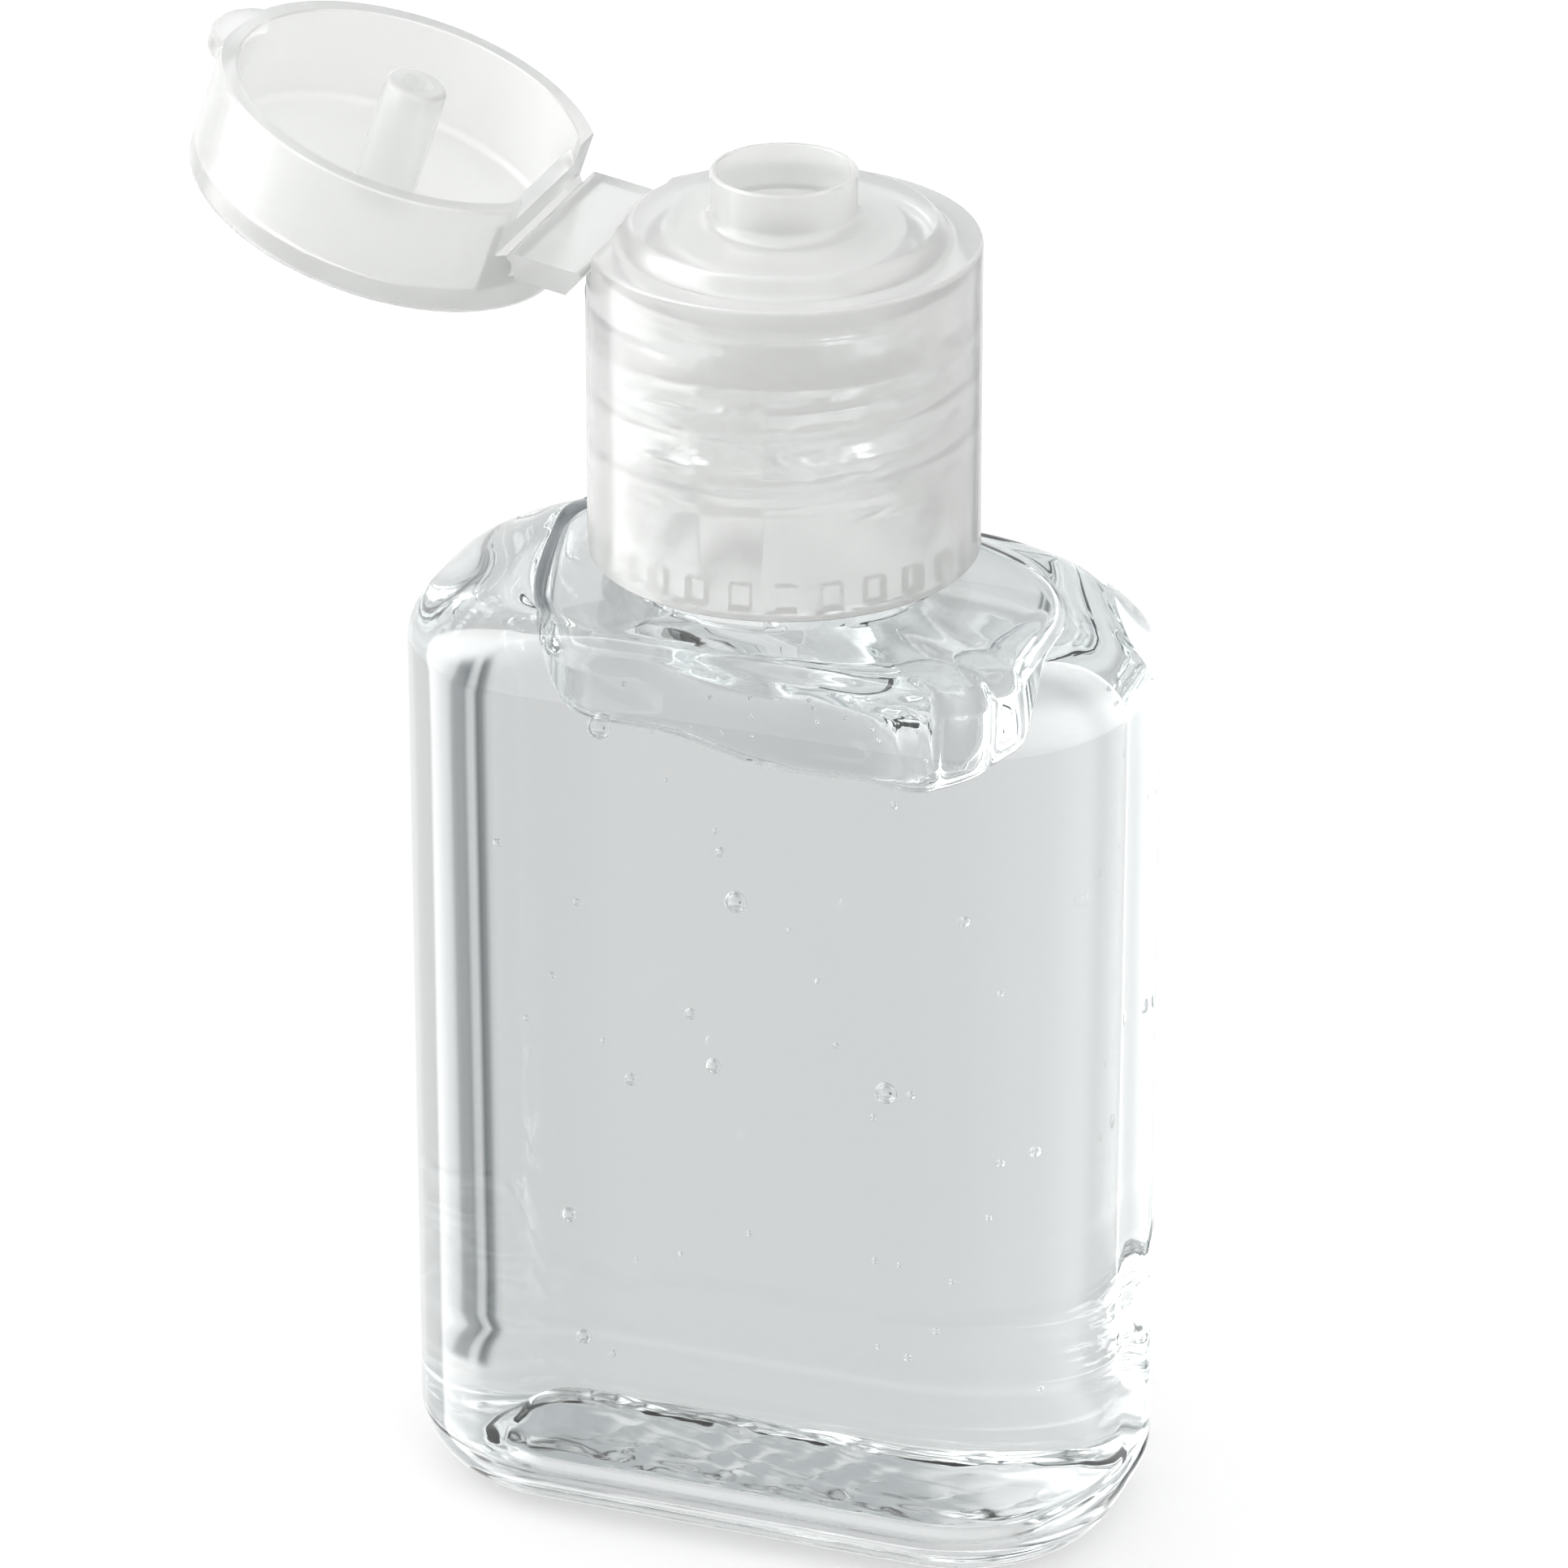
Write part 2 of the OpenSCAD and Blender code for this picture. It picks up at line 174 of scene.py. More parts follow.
def skin(name, rings, mats=None, loop=False):
    """Quads between rings of equal length, closed at both ends by a fan, or joined end to end."""
    count = len(rings[0])
    points = [p for ring in rings for p in ring]
    faces, face_mats = [], []
    pairs = len(rings) if loop else len(rings) - 1
    for i in range(pairs):
        a, b = i * count, ((i + 1) % len(rings)) * count
        for j in range(count):
            k = (j + 1) % count
            faces.append((a + j, b + j, b + k, a + k))
            face_mats.append(mats[i] if mats else 0)
    if not loop:
        for ring_at, flip in ((0, False), (len(rings) - 1, True)):
            ring = rings[ring_at]
            centre = [sum(p[c] for p in ring) / count for c in range(3)]
            points.append(centre)
            hub = len(points) - 1
            for j in range(count):
                a, b = ring_at * count + j, ring_at * count + (j + 1) % count
                faces.append((hub, b, a) if flip else (hub, a, b))
                face_mats.append(mats[min(ring_at, pairs - 1)] if mats else 0)
    return add_object(name, points, faces, face_mats)


def apply_modifiers(obj):
    graph = bpy.context.evaluated_depsgraph_get()
    mesh = bpy.data.meshes.new_from_object(obj.evaluated_get(graph))
    obj.modifiers.clear()
    obj.data = mesh


def combine(obj, other, operation):
    """obj cut by, joined to or kept inside other, which is then deleted."""
    mod = obj.modifiers.new("combine", "BOOLEAN")
    mod.operation, mod.solver, mod.object = operation, "EXACT", other
    apply_modifiers(obj)
    bpy.data.objects.remove(other)


def box(name, low, high):
    pts = [(x, y, z) for x in (low[0], high[0]) for y in (low[1], high[1]) for z in (low[2], high[2])]
    quads = [(0, 1, 3, 2), (4, 6, 7, 5), (0, 4, 5, 1), (2, 3, 7, 6), (0, 2, 6, 4), (1, 5, 7, 3)]
    return add_object(name, pts, quads)


def turned(name, profile, wobble=None, steps=ROUND_STEPS, loop=True):
    """A profile of (radius, z) turned round Z; wobble moves a point's radius by its angle."""
    rings = []
    for r, z in profile:
        ring = []
        for j in range(steps):
            a = 2 * math.pi * j / steps
            rr = wobble(r, z, a) if wobble else r
            ring.append((rr * math.cos(a), rr * math.sin(a), z))
        rings.append(ring)
    return skin(name, rings, loop=loop)


def arc(cx, cz, r, start, end, steps):
    """Points of an arc of a profile, its angles in degrees."""
    return [(cx + r * math.cos(math.radians(start + (end - start) * k / steps)),
             cz + r * math.sin(math.radians(start + (end - start) * k / steps)))
            for k in range(steps + 1)]


def mix(a, b, t):
    return a * (1 - t) + b * t


def ease(t):
    """0 to 1 with level ends."""
    t = min(max(t, 0.0), 1.0)
    return t * t * (3 - 2 * t)


# Plans of the body

QUARTER = FLAT_Y_STEPS + CORNER_STEPS + FLAT_X_STEPS


def mirrored(quarter):
    """A whole plan from its first quarter, which runs from the +X axis to the +Y axis."""
    q = quarter
    return (q[:-1] + [(-x, y) for x, y in q[:0:-1]] + [(-x, -y) for x, y in q[:-1]]
            + [(x, -y) for x, y in q[:0:-1]])


def rounded(w, d, r):
    r = max(min(r, w / 2, d / 2), 0.3)
    cx, cy = w / 2 - r, d / 2 - r
    q = [(w / 2, cy * k / FLAT_Y_STEPS) for k in range(FLAT_Y_STEPS)]
    for k in range(CORNER_STEPS + 1):
        a = math.pi / 2 * k / CORNER_STEPS
        q.append((cx + r * math.cos(a), cy + r * math.sin(a)))
    q += [(cx * (1 - k / FLAT_X_STEPS), d / 2) for k in range(1, FLAT_X_STEPS + 1)]
    return mirrored(q)


def circle(r):
    q = [(r * math.cos(math.pi / 2 * k / QUARTER), r * math.sin(math.pi / 2 * k / QUARTER))
         for k in range(QUARTER + 1)]
    return mirrored(q)


def at(plan, z):
    return [(x, y, z) for x, y in plan]


def between(a, b, t):
    return [(mix(p[0], q[0], t), mix(p[1], q[1], t)) for p, q in zip(a, b)]


def inset(d):
    return rounded(BODY_W - 2 * d, BODY_D - 2 * d, CORNER_R - d)


def ripple(ring, deep):
    """Mould marks and sink in the middle of the base."""
    return [(x, y, z + deep * (math.sin(1.3 * x + 0.7 * y) * math.sin(1.9 * y - 0.5 * x + 1.0)
                               + 0.6 * math.sin(2.7 * x - 1.1 * y + 2.0))) for x, y, z in ring]


def base_rings(t, lift):
    """From the middle of the base out to the foot of the walls, t inside the outer face."""
    foot_in, edge = BASE_EDGE + FOOT_W, BASE_EDGE - t
    hub = inset(foot_in + PUSH_SLOPE)
    deep = RIPPLE_IN if lift else RIPPLE_OUT
    rings = []
    for step in range(1, HUB_STEPS):
        s = step / HUB_STEPS
        flat = at(between([(0.0, 0.0)] * len(hub), hub, s), PUSH_UP + lift + BASE_CROWN * (1 - s ** 2))
        rings.append(ripple(flat, deep * ease((HUB_STEPS - step) / 4)))
    for k in range(SLOPE_STEPS + 1):
        s = k / SLOPE_STEPS
        rings.append(at(inset(foot_in + PUSH_SLOPE * (1 - s)), lift + PUSH_UP * (1 - ease(s))))
    for k in range(EDGE_STEPS + 1):
        a = math.pi / 2 * k / EDGE_STEPS
        rings.append(at(inset(t + edge * (1 - math.sin(a))), lift + edge * (1 - math.cos(a))))
    return rings


def wall_rings(t, lift):
    low = lift + BASE_EDGE - t
    return [at(inset(t), mix(low, WALL_TOP, k / WALL_STEPS)) for k in range(1, WALL_STEPS + 1)]


def top_plan(t):
    return rounded(BODY_W - 2 * t - 2 * SHOULDER_X, BODY_D - 2 * t - 2 * SHOULDER_Y, CORNER_R - t)


def shoulder_rings(t):
    rise = SHOULDER_RISE - t
    rings = []
    for k in range(1, 17):
        a = math.pi / 2 * k / 16
        d = 1 - math.cos(a)
        rings.append(at(rounded(BODY_W - 2 * t - 2 * SHOULDER_X * d, BODY_D - 2 * t - 2 * SHOULDER_Y * d,
                                CORNER_R - t), WALL_TOP + rise * math.sin(a)))
    return rings


def deck_rings(t, neck_radius):
    return [at(between(top_plan(t), circle(neck_radius), k / 8), DECK_Z - t + DECK_RISE * k / 8)
            for k in range(1, 9)]


def thread_radius(z, angle):
    """Radius of the neck with its one-start thread, which fades out at both ends."""
    turn = angle / (2 * math.pi)
    lead = (z - THREAD_LOW) / THREAD_PITCH - turn
    off = abs(lead - round(lead)) * THREAD_PITCH
    centre = THREAD_LOW + (round(lead) + turn) * THREAD_PITCH
    fade = ease((centre - THREAD_LOW + 0.6) / 1.6) * ease((THREAD_HIGH - centre + 0.6) / 1.6)
    bump = ease((THREAD_W / 2 + 0.25 - off) / 0.6)
    return NECK_R + (THREAD_CREST - NECK_R) * bump * fade


def neck_rings():
    rings = [at(circle(BEAD_R), DECK_TOP + BEAD_H * k / 3) for k in range(4)]
    rings.append(at(circle(BEAD_R - 0.25), DECK_TOP + BEAD_H + 0.12))
    low, steps = DECK_TOP + BEAD_H + 0.25, 88
    for k in range(steps + 1):
        z = mix(low, NECK_TOP - 0.3, k / steps)
        ring = []
        for x, y in circle(1.0):
            rr = thread_radius(z, math.atan2(y, x) % (2 * math.pi))
            ring.append((x * rr, y * rr, z))
        rings.append(ring)
    rings += [at(circle(NECK_R - 0.1), NECK_TOP - 0.1), at(circle(NECK_R - 0.35), NECK_TOP),
              at(circle(BORE_R + 0.3), NECK_TOP), at(circle(BORE_R), NECK_TOP - 0.3)]
    return rings


# Materials

def material(name):
    mat = bpy.data.materials.new(name)
    mat.use_nodes = True
    shader = mat.node_tree.nodes["Principled BSDF"]
    return mat, mat.node_tree, shader


def noise(tree, scale, detail=2.0):
    coord = tree.nodes.new("ShaderNodeTexCoord")
    node = tree.nodes.new("ShaderNodeTexNoise")
    node.inputs["Scale"].default_value = scale
    node.inputs["Detail"].default_value = detail
    tree.links.new(coord.outputs["Object"], node.inputs["Vector"])
    return node


def ramp(tree, source, low, high):
    """A colour or grey that runs from low to high with source."""
    node = tree.nodes.new("ShaderNodeMix")
    node.data_type = "RGBA"
    node.inputs["A"].default_value = (*low, 1.0)
    node.inputs["B"].default_value = (*high, 1.0)
    tree.links.new(source, node.inputs["Factor"])
    return node.outputs["Result"]


def bump(tree, shader, source, distance, strength):
    node = tree.nodes.new("ShaderNodeBump")
    node.inputs["Distance"].default_value = distance
    node.inputs["Strength"].default_value = strength
    tree.links.new(source, node.inputs["Height"])
    tree.links.new(node.outputs["Normal"], shader.inputs["Normal"])


def clear(name, ior, low, high, roughness=0.0):
    """A clear interface of that index, its tint varying a little from low to high."""
    mat, tree, shader = material(name)
    shader.inputs["Transmission Weight"].default_value = 1.0
    shader.inputs["IOR"].default_value = ior
    shader.inputs["Roughness"].default_value = roughness
    source = noise(tree, 60.0).outputs["Fac"]
    tree.links.new(ramp(tree, source, low, high), shader.inputs["Base Color"])
    return mat


def shade_painted_end(mat, dark, from_x, to_x):
    """Paints shade on a clear interface: darker towards the piece's left end, between two places in mm."""
    tree = mat.node_tree
    shader = tree.nodes["Principled BSDF"]
    source = shader.inputs["Base Color"].links[0].from_socket
    coord = tree.nodes.new("ShaderNodeTexCoord")
    split = tree.nodes.new("ShaderNodeSeparateXYZ")
    along = tree.nodes.new("ShaderNodeMapRange")
    along.inputs["From Min"].default_value, along.inputs["From Max"].default_value = from_x * MM, to_x * MM
    blend = tree.nodes.new("ShaderNodeMix")
    blend.data_type = "RGBA"
    blend.inputs["A"].default_value = (*dark, 1.0)
    tree.links.new(coord.outputs["Object"], split.inputs[0])
    tree.links.new(split.outputs["X"], along.inputs["Value"])
    tree.links.new(along.outputs["Result"], blend.inputs["Factor"])
    tree.links.new(source, blend.inputs["B"])
    tree.links.new(blend.outputs["Result"], shader.inputs["Base Color"])
    return mat


def milky(name, transmission, roughness):
    """Natural polypropylene: milky, with a soft sheen and faint flow marks."""
    mat, tree, shader = material(name)
    shader.inputs["Transmission Weight"].default_value = transmission
    shader.inputs["IOR"].default_value = PP_IOR
    shader.inputs["Roughness"].default_value = roughness
    source = noise(tree, 140.0, 3.0).outputs["Fac"]
    tint = ramp(tree, source, (0.965, 0.972, 0.962), (0.985, 0.99, 0.98))
    tree.links.new(tint, shader.inputs["Base Color"])
    bump(tree, shader, noise(tree, 700.0).outputs["Fac"], 0.00002, 0.2)
    return mat


PALE_LOW, PALE_HIGH = (0.985, 0.99, 0.99), (0.995, 1.0, 1.0)
SURFACE_LOW, SURFACE_HIGH = (0.97, 0.975, 0.975), (0.98, 0.985, 0.985)
# The outer PET faces are tinted grey as painted shade, standing in for the grey seen through the bottle; the
# shoulders and the sole are painted lighter than the sides.
PET_AIR_SHADE = clear("pet_outside_painted_shade", PET_IOR, (0.605, 0.618, 0.618), (0.615, 0.628, 0.628))
PET_TOP_SHADE = clear("pet_shoulders_painted_shade", PET_IOR, (0.7, 0.715, 0.715), (0.71, 0.725, 0.725))
SOLE_AIR_SHADE = clear("pet_sole", PET_IOR, (0.68, 0.69, 0.69), (0.7, 0.71, 0.71), roughness=0.08)
SOLE_GEL = clear("pet_sole_inside", PET_IOR / GEL_IOR, PALE_LOW, PALE_HIGH, roughness=0.1)
PET_NECK = clear("pet_neck", PET_IOR, PALE_LOW, PALE_HIGH)
PET_GEL = clear("pet_inside", PET_IOR / GEL_IOR, PALE_LOW, PALE_HIGH)
GEL_SKIN = clear("gel_at_wall", 1.0, PALE_LOW, PALE_HIGH)
GEL_FACE = clear("gel_at_air", GEL_IOR, SURFACE_LOW, SURFACE_HIGH)
# The meniscus at the air pocket's left end gets painted shade: a dark tint standing in for the dark band that
# refraction shows there.
GEL_SHADED_EDGE = shade_painted_end(clear("gel_meniscus_painted_shade", GEL_IOR, SURFACE_LOW, SURFACE_HIGH),
                      (0.1, 0.13, 0.15), -12.6, -11.2)
PP_CAP = milky("cap_plastic", 0.6, 0.18)
# A near-opaque copy of the cap plastic for the windows' sides: painted light, so they show white.
PP_LIT_EDGE = milky("window_edges_painted_light", 0.1, 0.3)
PP_LID = milky("lid_plastic", 0.7, 0.22)


def dress(obj, body, slot, *mats):
    for mat in mats:
        obj.data.materials.append(mat)
    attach(obj, body)


# Bottle

def make_bottle():
    body = base_rings(0, 0) + wall_rings(0, 0) + shoulder_rings(0) + deck_rings(0, BEAD_R)[:-1]
    neck = neck_rings()
    inner = base_rings(WALL_T, BASE_T) + wall_rings(WALL_T, BASE_T) + shoulder_rings(WALL_T)
    inner += deck_rings(WALL_T, BORE_R + 0.6)
    upright = len(base_rings(0, 0) + wall_rings(0, 0))
    side, inside, thread, top, sole, sole_inside = range(6)
    mats = [sole] * SOLE_RINGS + [side] * (upright - SOLE_RINGS) + [top] * (len(body) - upright)
    mats += [thread] * len(neck) + [inside] * (len(inner) - FLOOR_RINGS) + [sole_inside] * FLOOR_RINGS
    obj = skin("bottle_shell", body + neck + inner[::-1], mats)
    smooth(obj, 50)
    dress(obj, "bottle", "clear_shell", PET_AIR_SHADE, PET_GEL, PET_NECK, PET_TOP_SHADE, SOLE_AIR_SHADE, SOLE_GEL)
    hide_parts("bottle")


# Gel

POCKET_X, POCKET_LEFT, POCKET_RIGHT, POCKET_HALF_Y = 1.6, 16.2, 14.6, 10.75
POCKET_SKEW, FOLD_DEEP, FOLDS = 0.25, 0.3, 17
POCKET_TOP, COAT = DECK_Z - WALL_T, 0.25


def pocket_plan(scale):
    """Plan of the air pocket: skewed and blunt on the left, folded in its front corner on the right."""
    ring = []
    for x, y in circle(1.0):
        right = 0.85 if y > 0 else 0.5
        power, reach = (0.45, POCKET_LEFT) if x < 0 else (right, POCKET_RIGHT)
        px = math.copysign(abs(x) ** power, x) * reach * scale
        py = math.copysign(abs(y) ** power, y) * POCKET_HALF_Y * scale
        angle = math.atan2(y, x)
        folded = ease((angle + 1.25) / 0.3) * ease((-0.05 - angle) / 0.3)
        px += FOLD_DEEP * folded * math.sin(angle * FOLDS) - POCKET_SKEW * py * ease(-x)
        ring.append((px + POCKET_X, py))
    return ring


def pocket_low(x, y):
    """Height of the pocket's lower surface: it drops to the right and hangs in a lip at the front."""
    along = ease((x + 11.0) / 22.0)
    level = mix(52.6, 50.8, along) + 1.3 * ease((x - 11.0) / 5.0) + 1.6 * ease((-x - 9.0) / 4.0)
    front = ease((-y - 6.5 + 5.0 * ease((x - 9.0) / 4.0)) / 4.0)
    return level + 2.2 * (1 - front) + 0.25 * math.sin(x * 0.55 + y * 0.3)


def make_gel():
    t = WALL_T + GEL_GAP
    lift = BASE_T + GEL_GAP
    rings = base_rings(t, lift) + wall_rings(t, lift) + shoulder_rings(t) + deck_rings(t, BORE_R)
    skin_count = len(rings)
    neck = circle(BORE_R - 0.25)
    for k in range(1, 9):
        s = k / 8
        plan = between(neck, pocket_plan(0.97), ease(s))
        rings.append(at(plan, mix(DECK_TOP - t - 0.1, POCKET_TOP - COAT - 0.5, s)))
    full = pocket_plan(1.0)
    for k in range(0, 13):
        s = k / 12
        rings.append([(x, y, mix(POCKET_TOP - 1.6, pocket_low(x, y) + 0.9, s)) for x, y in full])
    for k in range(1, 9):
        a = math.pi / 2 * k / 8
        plan = pocket_plan(1 - 0.07 * (1 - math.cos(a)))
        rings.append([(x, y, pocket_low(x, y) + 0.9 * (1 - math.sin(a))) for x, y in plan])
    for s in (0.86, 0.78, 0.68, 0.56, 0.44, 0.32, 0.2, 0.08):
        rings.append([(x, y, pocket_low(x, y)) for x, y in pocket_plan(s)])
    at_wall, at_air, at_shaded_edge = range(3)
    mats = [at_wall] * (skin_count - 1) + [at_air] * 8 + [at_shaded_edge] * 20
    mats += [at_air] * (len(rings) - len(mats))
    obj = skin("gel_body", rings, mats)
    smooth(obj, 60)
    dress(obj, "bottle", "clear_gel", GEL_SKIN, GEL_FACE, GEL_SHADED_EDGE)
    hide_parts("gel")


# Bubbles seen in the gel: x, z and depth behind the front face, then the radius, all in mm
BUBBLES = [
    (0.7, 42, 3, 0.67), (-0.2, 45, 3, 0.33), (-0.5, 46.3, 3, 0.18), (-9.3, 40, 4, 0.25), (-14, 43, 4, 0.25),
    (-10.6, 35.4, 3, 0.21), (-2.2, 34.2, 3.5, 0.37), (-5.8, 29.5, 3, 0.4), (-1.7, 29.8, 7, 0.49),
    (9.6, 31, 4, 0.67), (11.2, 31.3, 3.5, 0.25), (9, 29.5, 3.5, 0.21), (6.6, 33.5, 4, 0.21), (4.5, 36, 8, 0.21),
    (13.8, 42.6, 4, 0.33), (-10.5, 18.8, 6, 0.49), (-9, 11.8, 3.5, 0.49), (-7, 11.2, 3, 0.25),
    (1, 20, 5, 0.18), (-6, 17, 5, 0.18), (-3.5, 17.5, 6, 0.18), (9, 20, 4, 0.21), (10.5, 20, 4, 0.18),
    (13, 19, 5, 0.18), (12.5, 16, 4, 0.21), (11, 14, 4, 0.23), (9, 14, 5, 0.18), (15.5, 27, 5, 0.25),
    (14.5, 23, 6, 0.18), (17, 27.5, 6, 0.33), (-7.3, 52, 2, 0.73), (10.5, 50, 2, 0.25), (-3.5, 49, 3, 0.14),
    (15, 37.5, 6, 0.18), (3.5, 40, 5, 0.21), (-12.5, 32, 4, 0.18), (-8, 31, 5, 0.18), (17.5, 12, 6, 0.18)]


# Fine bubbles in the film of gel before the air pocket: x and z, all of one depth and size
FILM_DEPTH, FILM_BUBBLE_R = 1.02, 0.12
FILM_BUBBLES = [
    (-5.5, 55.2), (-0.3, 55.2), (2.1, 55.5), (5.6, 55.9), (5.9, 55.5), (2.2, 54.5), (6.1, 54.7), (7.8, 55.2),
    (9.4, 54.8), (10.7, 55), (12.1, 55), (-3.6, 53.2), (-3.8, 52.6), (-1.4, 53.2), (0.4, 53.2), (2.2, 53.3),
    (9.8, 54.2), (9.7, 51.8), (12.6, 53.4), (11.9, 57.9)]


def make_bubbles():
    """Air bubbles as closed balls whose normals face the air inside them."""
    bm = bmesh.new()
    for x, z, depth, r in BUBBLES + [(x, z, FILM_DEPTH, FILM_BUBBLE_R) for x, z in FILM_BUBBLES]:
        place = Matrix.Translation(Vector((x, depth - BODY_D / 2, z)) * MM)
        bmesh.ops.create_uvsphere(bm, u_segments=24, v_segments=14, radius=r * MM, matrix=place)
    bmesh.ops.reverse_faces(bm, faces=bm.faces)
    obj = object_from("bubbles", bm)
    obj.data.shade_smooth()
    dress(obj, "bottle", "clear_gel", GEL_FACE)


# Cap

def cap_profile():
    skirt_top = PANEL_Z - COLLAR_H - (SKIRT_IN_R - COLLAR_R)
    points = [(CAP_R - 0.12, SKIRT_Z), (CAP_R, SKIRT_Z + 0.12)]
    points += [(CAP_R, mix(SKIRT_Z + 0.12, LEDGE_Z - 0.3, k / 10)) for k in range(1, 10)]
    points += arc(CAP_R - 0.3, LEDGE_Z - 0.3, 0.3, 0, 90, 5)
    points += [(STEP_R + 0.3 - (STEP_SLANT + 0.6) * k / 10, mix(LEDGE_Z, STEP_Z, ease(k / 10)))
               for k in range(11)]
    points += arc(NOZZLE_R + 0.8, STEP_Z + 0.8, 0.8, 270, 180, 6)
    points += [(NOZZLE_R, NOZZLE_TOP - 0.12), (NOZZLE_R - 0.12, NOZZLE_TOP)]
    points += [(NOZZLE_R - NOZZLE_WALL + 0.08, NOZZLE_TOP), (NOZZLE_R - NOZZLE_WALL, NOZZLE_TOP - 0.1)]
    points += [(NOZZLE_R - NOZZLE_WALL, NOZZLE_FLOOR + 0.2), (NOZZLE_R - NOZZLE_WALL - 0.2, NOZZLE_FLOOR)]
    points += [(HOLE_R, NOZZLE_FLOOR), (HOLE_R, NOZZLE_FLOOR - FLOOR_T)]
    points += [(SEAL_R - SEAL_T, NOZZLE_FLOOR - FLOOR_T), (SEAL_R - SEAL_T, PANEL_Z - SEAL_H)]
    points += [(SEAL_R - SEAL_T / 2, PANEL_Z - SEAL_H), (SEAL_R, PANEL_Z - SEAL_H + SEAL_T)]
    points += [(SEAL_R, PANEL_Z), (COLLAR_R, PANEL_Z), (COLLAR_R, PANEL_Z - COLLAR_H)]
    points += [(SKIRT_IN_R, mix(skirt_top, SKIRT_Z + 0.1, k / 60)) for k in range(61)]
    points += [(SKIRT_IN_R + 0.1, SKIRT_Z)]
    return points


def cap_wobble(r, z, angle):
    """Thread rib inside the skirt, half a pitch away from the neck's."""
    if abs(r - SKIRT_IN_R) > 0.01 or not 65.5 < z < 74.6:
        return r
    lead = (z - THREAD_LOW) / THREAD_PITCH - angle / (2 * math.pi) + 0.5
    off = abs(lead - round(lead)) * THREAD_PITCH
    fade = ease((z - 65.5) / 0.8) * ease((74.6 - z) / 0.8)
    return r - (SKIRT_IN_R - RIB_CREST) * ease((0.75 - off) / 0.35) * fade


def flat_cut(obj, depth, low, high):
    combine(obj, box("cutter", (-depth - BEYOND, -BEYOND, low), (-depth, BEYOND, high)), "DIFFERENCE")


def paint_window_sides_light(mesh):
    """The second material for the upright and level sides of the windows, a near-opaque copy of the cap plastic
    that paints them light.
    """
    low, high = (SKIRT_Z + LIP_H - 0.05) * MM, (SKIRT_Z + LIP_H + WINDOW_H + 0.05) * MM
    for face in mesh.polygons:
        out = Vector((face.center.x, face.center.y, 0))
        if low < face.center.z < high and (SKIRT_IN_R + 0.1) * MM < out.length < (CAP_R - 0.05) * MM:
            face.material_index = int(abs(out.normalized().dot(face.normal)) < 0.5)


def make_cap():
    obj = turned("cap_shell", cap_profile(), cap_wobble)
    flat_cut(obj, FLAT_X, SHELF_Z, LEDGE_Z + BEYOND)
    flat_cut(obj, RELIEF_X, SHELF_Z - RELIEF_H, SHELF_Z + 0.4)
    bm = bmesh.new()
    size = Matrix.Diagonal((0.4 + WINDOW_DEEP, WINDOW_W, WINDOW_H, 1.0))
    centre = Matrix.Translation((SKIRT_IN_R + (WINDOW_DEEP - 0.4) / 2, 0, SKIRT_Z + LIP_H + WINDOW_H / 2))
    for k in range(WINDOWS):
        spin = Matrix.Rotation(2 * math.pi * k / WINDOWS, 4, "Z")
        bmesh.ops.create_cube(bm, size=1.0, matrix=Matrix.Scale(MM, 4) @ spin @ centre @ size)
    combine(obj, object_from("windows", bm), "DIFFERENCE")
    paint_window_sides_light(obj.data)
    smooth(obj, 28)
    dress(obj, "cap", "cap_plastic", PP_CAP, PP_LIT_EDGE)
    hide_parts("cap")


# Hinge and lid

def opened(obj, pivot, angle, closed_pivot):
    """Moves a piece modelled with the lid shut to where the open hinge carries it."""
    move = (Matrix.Translation(Vector((pivot[0], 0, pivot[1])) * MM) @ Matrix.Rotation(-angle, 4, "Y")
            @ Matrix.Translation(-Vector((closed_pivot[0], 0, closed_pivot[1])) * MM))
    obj.data.transform(move)


def prism(name, outline, half_w):
    """An outline in X and Z, drawn out along Y."""
    count = len(outline)
    points = [(x, y, z) for y in (-half_w, half_w) for x, z in outline]
    faces = [tuple(range(count)), tuple(range(2 * count - 1, count - 1, -1))]
    faces += [(j, (j + 1) % count, count + (j + 1) % count, count + j) for j in range(count)]
    return add_object(name, points, faces)


def make_strap():
    half = FILM_T / 2
    outline = [(FOLD_X - half, CAP_FOLD_Z), (FOLD_X - STRAP_OUT, CAP_FOLD_Z + STRAP_BEVEL)]
    outline += [(FOLD_X - STRAP_OUT, LID_FOLD_Z - STRAP_BEVEL), (FOLD_X - half, LID_FOLD_Z)]
    outline += arc(FOLD_X, LID_FOLD_Z, half, 165, 0, 10)
    outline += arc(FOLD_X, CAP_FOLD_Z, half, 0, -165, 10)
    obj = prism("hinge_web", outline, HINGE_W / 2)
    opened(obj, (FOLD_X, CAP_FOLD_Z), FOLD_OPEN, (FOLD_X, CAP_FOLD_Z))
    smooth(obj, 30)
    dress(obj, "strap", "cap_plastic", PP_LID)
    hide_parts("hinge_strap")


def lid_profile():
    points = [(LID_IN_R * k / 6, LID_TOP - LID_TOP_T) for k in range(1, 6)]
    points += arc(LID_IN_R - 0.5, LID_TOP - LID_TOP_T - 0.5, 0.5, 90, 0, 5)
    points += [(LID_IN_R, RIM_Z + 0.1), (LID_IN_R + 0.1, RIM_Z)]
    points += [(CAP_R - 0.12, RIM_Z), (CAP_R, RIM_Z + 0.12)]
    points += arc(CAP_R - LID_EDGE, LID_TOP - LID_EDGE, LID_EDGE, 0, 90, 8)
    points += [(CAP_R * k / 6, LID_TOP) for k in range(5, 0, -1)]
    return points


def make_chord():
    """The lid's flat wall beside the hinge."""
    obj = turned("chord", [(1.0, CHORD_Z), (MID_WALL_R, CHORD_Z), (MID_WALL_R, MID_TOP_Z), (1.0, MID_TOP_Z)],
                 loop=False)
    keep = box("keep", (-CAP_R, -CAP_R, CHORD_Z - 1), (-FLAT_X + CHORD_T, CAP_R, LID_TOP))
    combine(obj, keep, "INTERSECT")
    return obj


